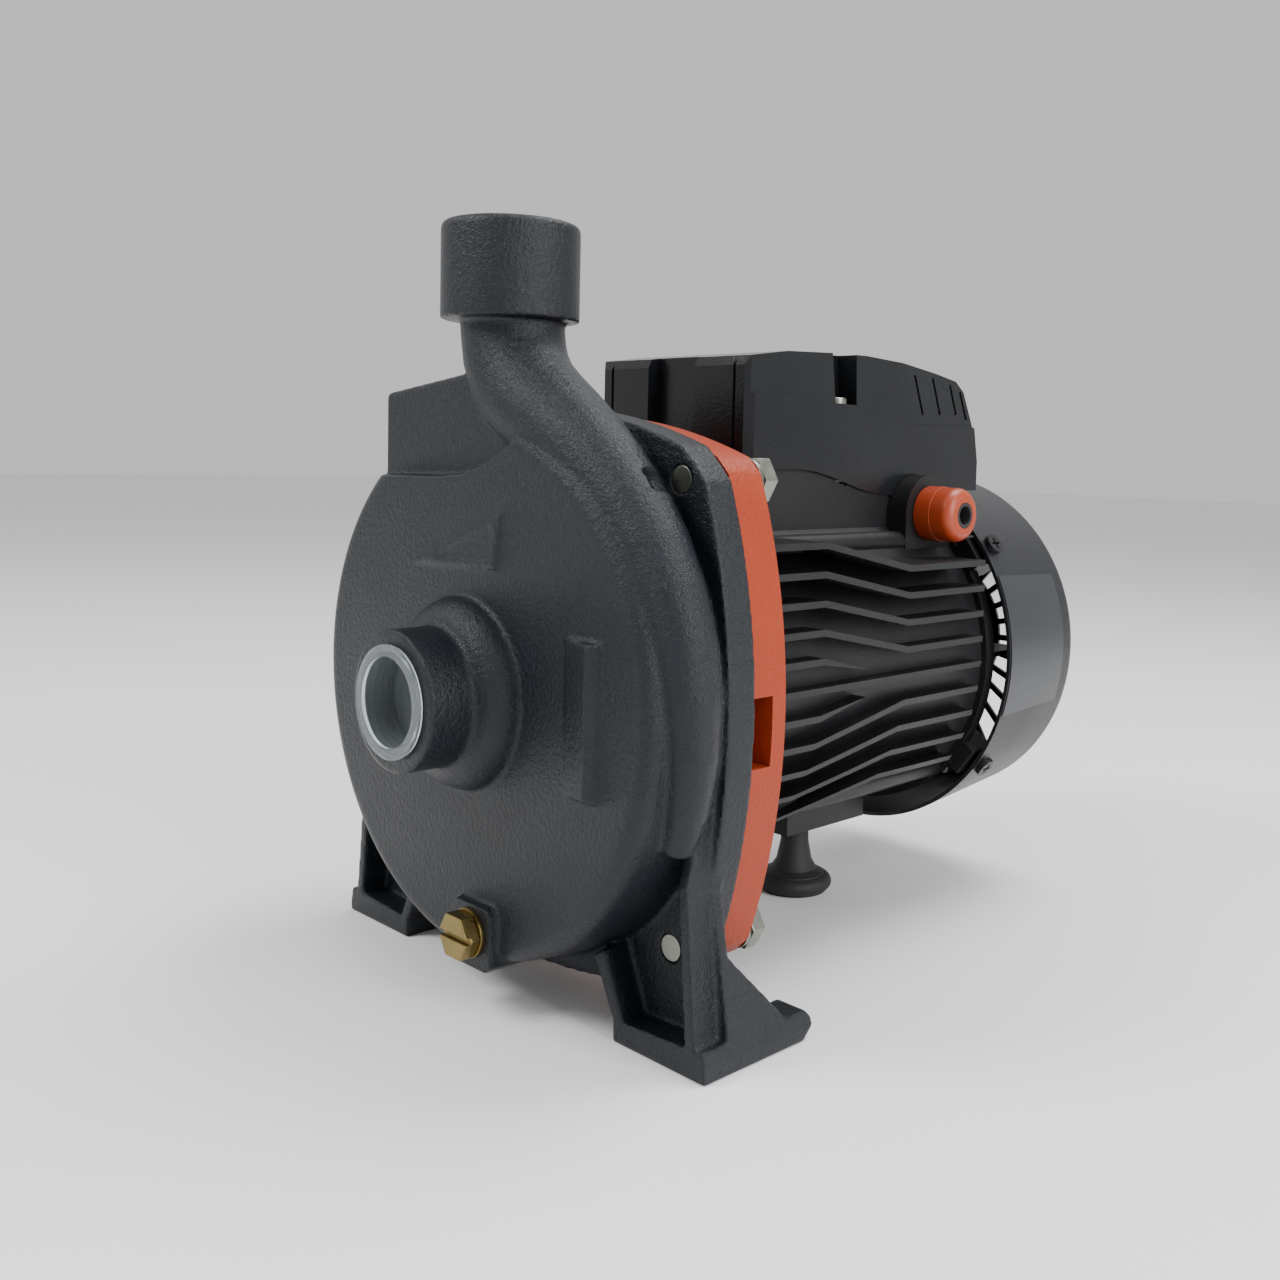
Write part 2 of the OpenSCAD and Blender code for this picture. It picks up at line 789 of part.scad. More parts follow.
module motor_housing() {
    wall_r = 61.5;
    base_half = box_half - 1;
    boss_l = gland_face_x - 33;
    color("#1d2024") difference() {
        union() {
            along_shaft(frame_y) linear_extrude(frame_back_y - frame_y) {
                circle(wall_r);
                for (a = tie_angles) translate(polar(tie_r, a)) circle(4);
            }
            along_shaft(frame_y) cylinder(r = motor_r - 1, h = 5);
            intersection() {
                for (k = [-fin_n:fin_n]) fin(k);
                front_plate(frame_y, fin_back_y) fin_line(motor_r);
            }
            side_plate(-base_half, base_half) base_side(box_y + 1, frame_back_y - 1, 38, 0.8);
            // boss round the cable entry
            along_gland(33) cylinder(r = 14.4, h = boss_l);
            translate([33, gland_y - 14.2, shaft_h + 37]) {
                cube([boss_l, 28.4, gland_z - 37]);
            }
            // pad over the stand
            translate([-15, stand_y - 22, shaft_h - 68.4]) cube([30, 46, 12]);
        }
        along_shaft(frame_y - 1) cylinder(r = stator_r + gap, h = frame_back_y - frame_y + 2);
        base_well();
        // wire way down into the frame
        translate([0, core_y + core_l + 6, shaft_h + 50]) cylinder(r = 6, h = 30);
        along_gland(29) cylinder(r = 7 + gap, h = 30);
        for (a = tie_angles) along_shaft(frame_y - 1) rotate(a) {
            translate([tie_r, 0, 0]) cylinder(r = 2.5 + gap, h = frame_back_y - frame_y + 2);
        }
        translate([0, stand_y, shaft_h - 70]) cylinder(r = 2 + gap, h = 12);
        both_sides() translate([lid_screw_x, notch_y, shaft_h + 57]) {
            cylinder(r = 2 + gap, h = 30);
        }
        translate([-base_half - 5, box_y + 20, shaft_h + 60]) rotate([0, 90, 0]) {
            cylinder(r = 2 + gap, h = 12);
        }
    }
}

// Bearing shield at the fan end, with four lugs for the fan cover
module rear_endshield() {
    hub_y = rear_bearing_y - 1;
    color("#22252a") difference() {
        union() {
            along_shaft(frame_back_y + gap) cylinder(r = 64, h = 5);
            along_shaft(frame_back_y - 5) cylinder(r = stator_r - 0.05, h = 6);
            along_shaft(hub_y) cylinder(r = 23, h = shield_back_y - hub_y);
            for (a = cover_screw_angles) along_shaft(frame_back_y + gap) rotate(-a) {
                translate([60, -6, 0]) cube([9.3, 12, 14]);
            }
        }
        along_shaft(hub_y - 1) cylinder(r = 14, h = 40);
        along_shaft(rear_bearing_y - 3) cylinder(r = bearing_od_r + 0.02, h = bearing_w + 4.3);
        along_shaft(frame_back_y - 6) ring(stator_r - 3, 23, 6);
        for (a = tie_angles) along_shaft(frame_back_y - 1) rotate(a) {
            translate([tie_r, 0, 0]) cylinder(r = 2.5 + gap, h = 20);
        }
        for (a = cover_screw_angles) cover_screw_axis(a) cylinder(r = 2 + gap, h = 11);
    }
}

module tie_rods() {
    color("#b9bec4") for (a = tie_angles) along_shaft(bracket_back_y - 9.8) rotate(a) {
        translate([tie_r, 0, 0]) cylinder(r = 2.5, h = shield_back_y + 6 - bracket_back_y + 9.8);
    }
}

module tie_rod_nuts() {
    color("#b9bec4") for (a = tie_angles) along_shaft(shield_back_y + 2 * gap) rotate(a) {
        translate([tie_r, 0, 0]) difference() {
            hexagon(8, 4);
            translate([0, 0, -1]) cylinder(r = 2.5 + gap, h = 6);
        }
    }
}

// ---------------------------------------------------------------- fan end

// Radius of the fan cover at a distance from its open end
function cover_at(s) = cover_r - (cover_r - cover_end_r) * s / (cover_l - 7);

// Axis of a cover screw, pointing in towards the shaft from the cover's surface
module cover_screw_axis(a) {
    translate([0, cover_y + 6.4, shaft_h]) rotate([0, -a, 0]) translate([cover_at(6.4), 0, 0]) {
        rotate([0, -90, 0]) children();
    }
}

module cooling_fan() {
    color("#17181a") along_shaft(fan_y) {
        difference() {
            union() {
                cylinder(r = 11, h = 14);
                translate([0, 0, 2]) cylinder(r = 56, h = 2);
                for (i = [0:blade_n - 1]) rotate(i * 360 / blade_n) {
                    translate([9, -1, 3]) cube([49, 2, 22]);
                }
            }
            translate([0, 0, -1]) cylinder(r = fan_r + 0.02, h = 20);
            translate([0, 0, 14]) cylinder(r = 10, h = 20);
        }
    }
}

module fan_circlip() {
    color("#8d9399") along_shaft(fan_y + 14.45) difference() {
        ring(8, fan_r - 0.5, 1);
        translate([-1.5, 0, -1]) cube([3, 10, 3]);
    }
}

// Outline of the cover's wall, from its open end to its centre
module cover_profile(inset) {
    corner = 7;
    end_r = cover_end_r - inset;
    end_y = cover_l - inset;
    polygon([
        [0, -inset], [cover_r - inset, -inset], [end_r, end_y - corner],
        [end_r - corner, end_y - corner], [end_r - corner, end_y], [0, end_y]
    ]);
    intersection() {
        translate([end_r - corner, end_y - corner]) circle(corner);
        translate([0, end_y - corner]) square([end_r, corner]);
    }
}

module fan_cover() {
    sheet = 1.3;
    color("#14161a") along_shaft(cover_y) difference() {
        rotate_extrude() cover_profile(0);
        rotate_extrude() cover_profile(sheet);
        translate([0, 0, cover_l - 5]) linear_extrude(8) {
            for (band = [[32, 59], [12, 27]]) difference() {
                circle(band[1]);
                circle(band[0]);
                for (i = [0:grille_n / 2 - 1]) rotate(i * 360 / grille_n) {
                    square([150, 2.4], center = true);
                }
            }
        }
        translate([0, 0, 6.4]) for (a = cover_screw_angles) rotate(-a) {
            rotate([0, 90, 0]) cylinder(r = 2.3, h = 90);
        }
    }
}

module fan_cover_screws() {
    color("#2a2c30") for (a = cover_screw_angles) cover_screw_axis(a) difference() {
        union() {
            translate([0, 0, -2.5]) cylinder(r = 4, h = 2.2);
            translate([0, 0, -1]) cylinder(r = 2, h = 9.5);
        }
        for (turn = [0, 90]) rotate(turn) translate([-2.4, -0.45, -3]) cube([4.8, 0.9, 1.8]);
    }
}

// Blank foil label wrapped round the cover's side
module rating_label() {
    low = -17;
    high = 26;
    color("#24272b") along_shaft(cover_y + 1) rotate(-high) rotate_extrude(angle = high - low) {
        polygon([
            [cover_at(1) + 0.03, 0], [cover_at(1) + 0.33, 0],
            [cover_at(45) + 0.33, 44], [cover_at(45) + 0.03, 44]
        ]);
    }
}

// ---------------------------------------------------------------- terminal box

// Side view of the lid's top and sloping rear end, from the front edge backwards
lid_top = [
    [59.4, 104.5], [61, 107.6], [79, 110.2], [103, 111.2], [122, 111.5], [144, 110.4],
    [166, 107.6], [179, 105.4], [184.5, 101.5], [191.5, 88.1], [196.5, 64.5]
];

// Side view of the lid, its top lowered by drop and its lower edge by extra
module lid_side(drop, extra) {
    polygon(concat(
        [for (p = lid_top) [flange_y + p[0], p[1] - drop]],
        [[box_back_y - 0.5, seam(box_back_y) - extra]],
        [for (i = [6:-1:0]) [seam_ys[i], seam(seam_ys[i]) - extra]],
        [[box_y, seam(box_y) - extra]]
    ));
}

// Side view of the upper part of the lid, above the step line
module lid_upper_side() {
    polygon([
        [flange_y + 50, 95.3], [flange_y + 80, 95.3], [flange_y + 103, 93],
        [flange_y + 118, 90.3], [flange_y + 136, 87.4], [flange_y + 210, 88],
        [flange_y + 210, 130], [flange_y + 50, 130]
    ]);
}

// Plan view of the lid with chamfered corners
module lid_plan(half, cut) {
    y0 = box_y;
    y1 = box_back_y;
    translate([0, 0, shaft_h + 40]) linear_extrude(100) polygon([
        [-half + cut, y0], [half - cut, y0], [half, y0 + cut], [half, y1 - cut],
        [half - cut, y1], [-half + cut, y1], [-half, y1 - cut], [-half, y0 + cut]
    ]);
}

// Tapered recess over a side screw
module screw_notch(depth, spread) {
    side_plate(box_half - depth, box_half + 1) polygon([
        [notch_y - 5 - spread, screw_ledge_z - spread],
        [notch_y + 7 + spread, screw_ledge_z - spread],
        [notch_y + 6 + spread, 113], [notch_y - 7.5 - spread, 113]
    ]);
}

// Space inside the lid, clear of the screw recesses and the fan cover
module lid_hollow() {
    difference() {
        intersection() {
            side_plate(-box_half + box_wall, box_half - box_wall) lid_side(box_wall, 10);
            lid_plan(box_half - box_wall, 0.5);
            translate([-60, box_y + box_wall, 0]) cube([120, 124.6 - box_wall, 300]);
        }
        both_sides() screw_notch(9.5 + box_wall, box_wall);
        along_shaft(frame_back_y) cylinder(r = cover_r + 0.8 + box_wall, h = 60);
        translate([-11.5 - box_wall, box_y, shaft_h + 80 - box_wall]) {
            cube([23 + 2 * box_wall, 5 + box_wall, 40]);
        }
    }
}

module terminal_box_lid() {
    color("#121418") difference() {
        union() {
            difference() {
                intersection() {
                    side_plate(-box_half, box_half) lid_side(0, 0);
                    lid_plan(box_half, 2.6);
                }
                lid_hollow();
            }
            both_sides() translate([lid_screw_x, notch_y, shaft_h + seam(notch_y) + gap]) {
                cylinder(r = 4.5, h = 26);
            }
        }
        both_sides() side_plate(box_half - 1, box_half + 1) lid_upper_side();
        both_sides() screw_notch(9.5, 0);
        translate([-11.5, box_y - 1, shaft_h + 80]) cube([23, 6, 40]);
        // room for the fan cover, the endshield and the cable entry's boss
        along_shaft(cover_y - 1) cylinder(r = cover_r + 0.8, h = 60);
        along_shaft(frame_back_y - 10) cylinder(r = 64.4, h = 60);
        along_gland(28) cylinder(r = 14.6, h = 30);
        both_sides() translate([lid_screw_x, notch_y, shaft_h + 50]) {
            cylinder(r = 2 + gap, h = 50);
        }
    }
}

// Rubber strip in the joint between base and lid
module lid_gasket() {
    side_half = box_half - 1.6;
    color("#26282a") difference() {
        side_plate(-side_half, side_half) {
            base_side(box_y + 1.6, frame_back_y - 1, 58, 0.06);
        }
        side_plate(-side_half - 1, side_half + 1) base_side(box_y, frame_back_y + 1, 50, 0.74);
        side_plate(-side_half + 1.6, side_half - 1.6) {
            base_side(box_y + 3.2, frame_back_y + 1, 50, -5);
        }
        along_shaft(frame_y) cylinder(r = 64.4, h = 200);
        along_gland(28) cylinder(r = 14.6, h = 30);
        both_sides() translate([lid_screw_x, notch_y, shaft_h + 50]) cylinder(r = 4.6, h = 50);
    }
}

module lid_screws() {
    color("#c3c7cc") both_sides() translate([lid_screw_x, notch_y, shaft_h]) difference() {
        union() {
            translate([0, 0, screw_ledge_z + gap]) rounded_boss(3.9, 2.4, 1);
            translate([0, 0, 58]) cylinder(r = 2, h = screw_ledge_z - 57);
        }
        for (turn = [0, 90]) rotate(turn) {
            translate([-2.2, -0.45, screw_ledge_z + 1]) cube([4.4, 0.9, 3]);
        }
    }
}

block_y = flange_y + 80;
block_xs = [-15, -5, 5, 15];

module terminal_block() {
    color("#e8e2d0") difference() {
        translate([-20, block_y, shaft_h + 64.1]) cube([40, 16, 11]);
        for (x = block_xs) translate([x, block_y + 8, shaft_h + 67]) {
            cylinder(r = 2 + gap, h = 20);
        }
    }
}

module terminal_screws() {
    color("#b08d4c") for (x = block_xs) translate([x, block_y + 8, shaft_h + 67.5]) {
        cylinder(r = 2, h = 8);
        translate([0, 0, 7.65]) cylinder(r = 3.4, h = 2);
    }
}

cap_r = 16;
cap_z = 64.3 + cap_r;

module run_capacitor() {
    color("#d8dadc") translate([0, flange_y + 104, cap_z]) along_shaft(0) {
        rounded_boss(cap_r, 50, 1.5);
        translate([-4, -2, 49]) cube([1, 4, 6]);
        translate([3, -2, 49]) cube([1, 4, 6]);
    }
}

module capacitor_clip() {
    color("#9aa0a6") translate([0, flange_y + 122, cap_z]) along_shaft(0) {
        difference() {
            ring(cap_r + 0.9, cap_r + gap, 8);
            translate([-20, 8, -1]) cube([40, 20, 10]);
        }
    }
}

// ---------------------------------------------------------------- gland and stand

module along_gland(x) {
    translate([x, gland_y, shaft_h + gland_z]) rotate([0, 90, 0]) children();
}

module gland_body() {
    color("#b94c24") along_gland(gland_face_x + gap) difference() {
        union() {
            cylinder(r = 10.3, h = 7);
            translate([0, 0, -11]) cylinder(r = 7, h = 12);
        }
        translate([0, 0, -12]) cylinder(r = 5, h = 30);
    }
}

module gland_cap_nut() {
    color("#b94c24") along_gland(gland_face_x + 7 + 2 * gap) difference() {
        rotate_extrude() {
            square([10, 5]);
            square([7, 9]);
            intersection() {
                translate([6, 5]) circle(4);
                square([12, 9]);
            }
        }
        translate([0, 0, -1]) cylinder(r = 4.8, h = 12);
    }
}

module gland_grommet() {
    color("#151517") along_gland(gland_face_x + 3) ring(4.75, 3.4, 13.2);
}

module motor_stand() {
    top = shaft_h - 68.4 - gap;
    color("#17181a") translate([0, stand_y, 0]) difference() {
        rotate_extrude() {
            polygon([
                [0, 0], [12, 0], [12, 7], [9, 8.6], [7, 12], [5.6, 19], [5.2, top], [0, top]
            ]);
            translate([12, 3.5]) circle(3);
            translate([11, 0.5]) square([2, 6]);
            square([13, 6.5]);
        }
        translate([0, 0, -1]) cylinder(r = 4.6, h = 15);
        translate([0, 0, -1]) cylinder(r = 2 + gap, h = 60);
    }
}

module stand_screw() {
    top = shaft_h - 68.4;
    color("#b9bec4") translate([0, stand_y, 0]) {
        translate([0, 0, 11.5]) cylinder(r = 3.6, h = 2.4);
        translate([0, 0, 12]) cylinder(r = 2, h = top - 12 + 8);
    }
}

module earth_screw() {
    color("#c3c7cc") translate([-box_half + 1 - gap, box_y + 20, shaft_h + 60]) {
        rotate([0, 90, 0]) cylinder(r = 2, h = 8);
        rotate([0, -90, 0]) rounded_boss(4, 2.6, 1);
    }
}

pump_casing();
discharge_branch();
foot_left();
foot_right();
suction_port_plug();
drain_plug();
drain_plug_washer();
impeller();
impeller_key();
impeller_nut();
seal_seat();
seal_carbon_ring();
seal_spring();
seal_cup();
casing_o_ring();
bracket();
casing_bolts();
bolt_washers();
shaft();
water_slinger();
front_bearing_outer_ring();
front_bearing_inner_ring();
front_bearing_balls();
rear_bearing_outer_ring();
rear_bearing_inner_ring();
rear_bearing_balls();
bearing_wave_washer();
rotor_core();
stator_core();
stator_windings();
motor_housing();
rear_endshield();
tie_rods();
tie_rod_nuts();
cooling_fan();
fan_circlip();
fan_cover();
fan_cover_screws();
rating_label();
terminal_box_lid();
lid_gasket();
lid_screws();
terminal_block();
terminal_screws();
run_capacitor();
capacitor_clip();
gland_body();
gland_cap_nut();
gland_grommet();
motor_stand();
stand_screw();
earth_screw();
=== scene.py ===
# %% [markdown]
# # A close-coupled centrifugal water pump
# The measured frame comes from the CAD model, so every piece below stands where the real
# one would. This lesson gives the pump its cast skin, its paint and its small fittings.

# %% Load the frame
import json
import math

import bmesh
import bpy
from mathutils import Matrix, Vector


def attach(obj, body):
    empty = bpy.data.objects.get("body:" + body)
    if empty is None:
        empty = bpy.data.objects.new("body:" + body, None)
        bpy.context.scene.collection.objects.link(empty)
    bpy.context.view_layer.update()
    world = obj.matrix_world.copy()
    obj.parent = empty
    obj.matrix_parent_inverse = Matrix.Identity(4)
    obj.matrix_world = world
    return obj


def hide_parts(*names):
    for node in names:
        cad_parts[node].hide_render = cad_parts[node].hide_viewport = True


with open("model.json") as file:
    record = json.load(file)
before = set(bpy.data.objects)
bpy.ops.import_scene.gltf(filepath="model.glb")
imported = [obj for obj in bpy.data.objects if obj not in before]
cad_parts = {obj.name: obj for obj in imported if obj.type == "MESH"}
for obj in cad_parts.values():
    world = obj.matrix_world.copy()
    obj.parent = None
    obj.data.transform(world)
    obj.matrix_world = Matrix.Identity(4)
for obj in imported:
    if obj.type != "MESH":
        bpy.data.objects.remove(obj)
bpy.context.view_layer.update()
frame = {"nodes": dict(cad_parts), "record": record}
nodes = frame["nodes"]
MM = 0.001
SHAFT_Z = 0.0964
FLANGE_Y = -0.0128

# %% [markdown]
# ## Camera
# The camera stands in front of the suction side, a little above the shaft, turned to look at
# the volute and along the motor. Its place comes first because nothing else depends on it.

# %% Camera
YAW, PITCH, ROLL = (math.radians(v) for v in (44.547, -4.287, 1.461))
look = Vector((-math.sin(YAW) * math.cos(PITCH), math.cos(YAW) * math.cos(PITCH),
               math.sin(PITCH)))
level = Vector((math.cos(YAW), math.sin(YAW), 0))
upright = level.cross(look)
right = math.cos(ROLL) * level + math.sin(ROLL) * upright
up = math.cos(ROLL) * upright - math.sin(ROLL) * level
camera_data = bpy.data.cameras.new("studio_camera")
camera = bpy.data.objects.new("studio_camera", camera_data)
bpy.context.scene.collection.objects.link(camera)
camera.matrix_world = Matrix((right, up, -look)).transposed().to_4x4()
camera.location = (0.33079, -0.26775, 0.17144)
camera_data.sensor_width = 36
camera_data.lens = 36.69
camera_data.shift_x = -0.0549
camera_data.shift_y = -0.0695
camera_data.clip_start = 0.01
bpy.context.scene.camera = camera
print("camera", [round(v, 3) for v in camera.location], "lens", camera_data.lens)

# %% [markdown]
# ## Studio
# A pale floor, three area lights and a bright world give the soft light of a product studio.
# The lights are half a metre across or more, because gloss paint shows a light's own shape.

# %% Floor and lights
bm = bmesh.new()
bmesh.ops.create_grid(bm, x_segments=1, y_segments=1, size=6)
floor_mesh = bpy.data.meshes.new("studio_floor")
bm.to_mesh(floor_mesh)
bm.free()
studio_floor = bpy.data.objects.new("studio_floor", floor_mesh)
bpy.context.scene.collection.objects.link(studio_floor)
studio_floor.location.z = -0.0002


def area_light(name, place, target, size, power):
    data = bpy.data.lights.new(name, "AREA")
    data.shape = "RECTANGLE"
    data.size, data.size_y = size
    data.energy = power
    lamp = bpy.data.objects.new(name, data)
    bpy.context.scene.collection.objects.link(lamp)
    lamp.location = place
    aim = Vector(target) - Vector(place)
    lamp.rotation_euler = aim.to_track_quat("-Z", "Y").to_euler()


area_light("key_light", (-0.5, -0.9, 1.1), (0, 0.02, 0.1), (0.5, 0.5), 15)
area_light("side_light", (1.1, 0.1, 0.55), (0, 0.05, 0.1), (0.5, 0.7), 12)
area_light("top_light", (0.2, 0.5, 1.2), (0, 0.05, 0.1), (0.6, 0.6), 13)
world = bpy.data.worlds.new("studio_world")
bpy.context.scene.world = world
world.use_nodes = True
sky = world.node_tree.nodes["Background"]
sky.inputs["Color"].default_value = (1, 1, 1, 1)
sky.inputs["Strength"].default_value = 0.7

# %% [markdown]
# ## Shared surface effects
# Cast paint, wrinkle paint and moulded plastic all need an uneven surface, so two effects are
# built once as node groups. `surface_grain` mixes a coarse and a fine noise into one height for
# a bump. `soft_mottle` gives a slow mask that shifts colour and gloss a little.

# %% Helpers for node groups and materials


def new_group(name, inputs, outputs):
    group = bpy.data.node_groups.new(name, "ShaderNodeTree")
    for label, value in inputs:
        socket = group.interface.new_socket(label, in_out="INPUT", socket_type="NodeSocketFloat")
        socket.default_value = value
    for label in outputs:
        group.interface.new_socket(label, in_out="OUTPUT", socket_type="NodeSocketFloat")
    return group


def add_node(tree, kind, place, **settings):
    node = tree.nodes.new(kind)
    node.location = place
    for key, value in settings.items():
        setattr(node, key, value)
    return node


# %% [markdown]
# The grain group measures its noise in object coordinates. Every piece stands at the origin
# unscaled, so a given scale makes bumps of the same real size on every piece.

# %% Surface grain group
grain = new_group("surface_grain",
                  [("Coarse Scale", 300), ("Fine Scale", 1500), ("Fine Share", 0.3)], ["Height"])
enter = add_node(grain, "NodeGroupInput", (-800, 0))
leave = add_node(grain, "NodeGroupOutput", (400, 0))
place = add_node(grain, "ShaderNodeTexCoord", (-800, 300))
coarse = add_node(grain, "ShaderNodeTexNoise", (-500, 200))
fine = add_node(grain, "ShaderNodeTexNoise", (-500, -200))
coarse.inputs["Detail"].default_value = 2
fine.inputs["Detail"].default_value = 3
blend = add_node(grain, "ShaderNodeMix", (0, 0), data_type="FLOAT")
for noise, scale in ((coarse, "Coarse Scale"), (fine, "Fine Scale")):
    grain.links.new(place.outputs["Object"], noise.inputs["Vector"])
    grain.links.new(enter.outputs[scale], noise.inputs["Scale"])
grain.links.new(enter.outputs["Fine Share"], blend.inputs["Factor"])
grain.links.new(coarse.outputs["Fac"], blend.inputs[2])
grain.links.new(fine.outputs["Fac"], blend.inputs[3])
grain.links.new(blend.outputs[0], leave.inputs["Height"])

# %% [markdown]
# The mottle group stretches one soft noise into a mask. Paint and plating are never quite even,
# and this mask drives that small drift of colour and gloss.

# %% Soft mottle group
mottle = new_group("soft_mottle", [("Scale", 30), ("Low", 0.3), ("High", 0.7)], ["Mask"])
enter = add_node(mottle, "NodeGroupInput", (-800, 0))
leave = add_node(mottle, "NodeGroupOutput", (400, 0))
place = add_node(mottle, "ShaderNodeTexCoord", (-800, 300))
cloud = add_node(mottle, "ShaderNodeTexNoise", (-500, 200))
cloud.inputs["Detail"].default_value = 5
stretch = add_node(mottle, "ShaderNodeMapRange", (-100, 0))
mottle.links.new(place.outputs["Object"], cloud.inputs["Vector"])
mottle.links.new(enter.outputs["Scale"], cloud.inputs["Scale"])
mottle.links.new(cloud.outputs["Fac"], stretch.inputs["Value"])
mottle.links.new(enter.outputs["Low"], stretch.inputs["From Min"])
mottle.links.new(enter.outputs["High"], stretch.inputs["From Max"])
mottle.links.new(stretch.outputs["Result"], leave.inputs["Mask"])
print("groups", [g.name for g in bpy.data.node_groups])

# %% [markdown]
# ## One recipe for most finishes
# Nearly every finish on this pump is a base colour that drifts a little, a gloss that drifts
# with it, and a bump. One function builds that; each finish then only states its numbers.

# %% Finish builder


def finish(name, colour, second, rough, grain_scale, bump, metallic=0.0, mottle_scale=30,
           coat=0.0, coat_rough=0.1, fine_share=0.3, specular=0.5):
    material = bpy.data.materials.new(name)
    material.use_nodes = True
    tree = material.node_tree
    shader = tree.nodes["Principled BSDF"]
    shader.inputs["Metallic"].default_value = metallic
    shader.inputs["Coat Weight"].default_value = coat
    shader.inputs["Coat Roughness"].default_value = coat_rough
    shader.inputs["Specular IOR Level"].default_value = specular
    patches = add_node(tree, "ShaderNodeGroup", (-900, 200), node_tree=mottle)
    patches.inputs["Scale"].default_value = mottle_scale
    tint = add_node(tree, "ShaderNodeMix", (-500, 300), data_type="RGBA")
    tint.inputs[6].default_value = (*colour, 1)
    tint.inputs[7].default_value = (*second, 1)
    gloss = add_node(tree, "ShaderNodeMapRange", (-500, 0))
    gloss.inputs["To Min"].default_value = rough[0]
    gloss.inputs["To Max"].default_value = rough[1]
    texture = add_node(tree, "ShaderNodeGroup", (-900, -300), node_tree=grain)
    texture.inputs["Coarse Scale"].default_value = grain_scale
    texture.inputs["Fine Scale"].default_value = grain_scale * 4
    texture.inputs["Fine Share"].default_value = fine_share
    relief = add_node(tree, "ShaderNodeBump", (-500, -300))
    relief.inputs["Strength"].default_value = 1.0
    relief.inputs["Distance"].default_value = bump
    links = tree.links
    links.new(patches.outputs["Mask"], tint.inputs["Factor"])
    links.new(patches.outputs["Mask"], gloss.inputs["Value"])
    links.new(tint.outputs[2], shader.inputs["Base Color"])
    links.new(gloss.outputs["Result"], shader.inputs["Roughness"])
    links.new(texture.outputs["Height"], relief.inputs["Height"])
    links.new(relief.outputs["Normal"], shader.inputs["Normal"])
    links.new(relief.outputs["Normal"], shader.inputs["Coat Normal"])
    return material


# %% [markdown]
# ## Finishes
# The casing is sand-cast iron under a thick blue-grey paint that has dried with an orange-peel
# skin. The motor is die-cast aluminium under thinner black paint, and the fan cover is pressed
# steel with a wrinkle coat. The bracket and cable gland share an orange.

# %% Painted and moulded finishes
casting_paint = finish("casting_paint", (0.0045, 0.0062, 0.0092), (0.0065, 0.009, 0.013),
                       (0.30, 0.40), 620, 0.0006, coat=0.12, coat_rough=0.18, fine_share=0.4,
                       specular=0.25)
bracket_paint = finish("bracket_paint", (0.27, 0.027, 0.004), (0.32, 0.035, 0.006),
                       (0.36, 0.48), 750, 0.0004, specular=0.3)
motor_paint = finish("motor_paint", (0.006, 0.0062, 0.0072), (0.010, 0.0104, 0.012),
                     (0.34, 0.46), 900, 0.00015, specular=0.35)
wrinkle_paint = finish("wrinkle_paint", (0.007, 0.0078, 0.010), (0.011, 0.012, 0.015),
                       (0.30, 0.40), 1100, 0.0004, specular=0.35)
lid_plastic = finish("lid_plastic", (0.005, 0.0056, 0.007), (0.007, 0.0078, 0.0095),
                     (0.14, 0.22), 900, 0.00012, specular=0.45)
gland_plastic = finish("gland_plastic", (0.30, 0.034, 0.006), (0.35, 0.042, 0.008),
                       (0.36, 0.45), 1800, 0.00003)
black_rubber = finish("black_rubber", (0.010, 0.010, 0.011), (0.016, 0.016, 0.017),
                      (0.6, 0.75), 1500, 0.00006)
fan_plastic = finish("fan_plastic", (0.009, 0.009, 0.010), (0.013, 0.013, 0.015),
                     (0.42, 0.5), 1500, 0.00003)
label_foil = finish("label_foil", (0.016, 0.018, 0.022), (0.022, 0.024, 0.028),
                    (0.32, 0.38), 2500, 0.00001)
screw_black = finish("screw_black", (0.02, 0.021, 0.023), (0.03, 0.031, 0.034),
                     (0.3, 0.4), 1500, 0.00003, metallic=0.6)
floor_paint = finish("floor_paint", (0.88, 0.88, 0.875), (0.90, 0.90, 0.895), (0.55, 0.65), 60,
                     0.00002, mottle_scale=2)
studio_floor.data.materials.append(floor_paint)

# %% [markdown]
# Bare metals get a metallic value of one, so their colour is the colour of the reflection. Zinc
# plate is a greenish grey, brass a dull yellow, and turned steel is neutral and a little shinier.

# %% Bare metal finishes
zinc_plate = finish("zinc_plate", (0.20, 0.21, 0.18), (0.30, 0.31, 0.27), (0.28, 0.42), 1200,
                    0.00004, metallic=1.0, mottle_scale=120)
turned_steel = finish("turned_steel", (0.45, 0.46, 0.47), (0.55, 0.56, 0.57), (0.2, 0.34), 1500,
                      0.00003, metallic=1.0)
yellow_brass = finish("yellow_brass", (0.22, 0.165, 0.06), (0.31, 0.23, 0.085), (0.26, 0.4), 900,
                      0.00006, metallic=1.0, mottle_scale=90)
core_steel = finish("core_steel", (0.16, 0.165, 0.17), (0.24, 0.245, 0.25), (0.4, 0.55), 900,
                    0.00008, metallic=1.0)
winding_enamel = finish("winding_enamel", (0.35, 0.10, 0.03), (0.45, 0.15, 0.05), (0.3, 0.4),
                        700, 0.0003, metallic=0.5)
pale_ceramic = finish("pale_ceramic", (0.72, 0.70, 0.63), (0.78, 0.76, 0.70), (0.35, 0.45), 1200,
                      0.00003)
capacitor_shell = finish("capacitor_shell", (0.68, 0.69, 0.70), (0.74, 0.75, 0.76), (0.2, 0.3),
                         1500, 0.00002)
carbon = finish("carbon", (0.02, 0.02, 0.021), (0.03, 0.03, 0.031), (0.4, 0.5), 1500, 0.00003)

# %% [markdown]
# ## The transport plug's plastic
# The plug is thin milky polyethylene. Part of the light goes through the disc, so the dark
# bore shows behind it, while the thicker rim stays milky.

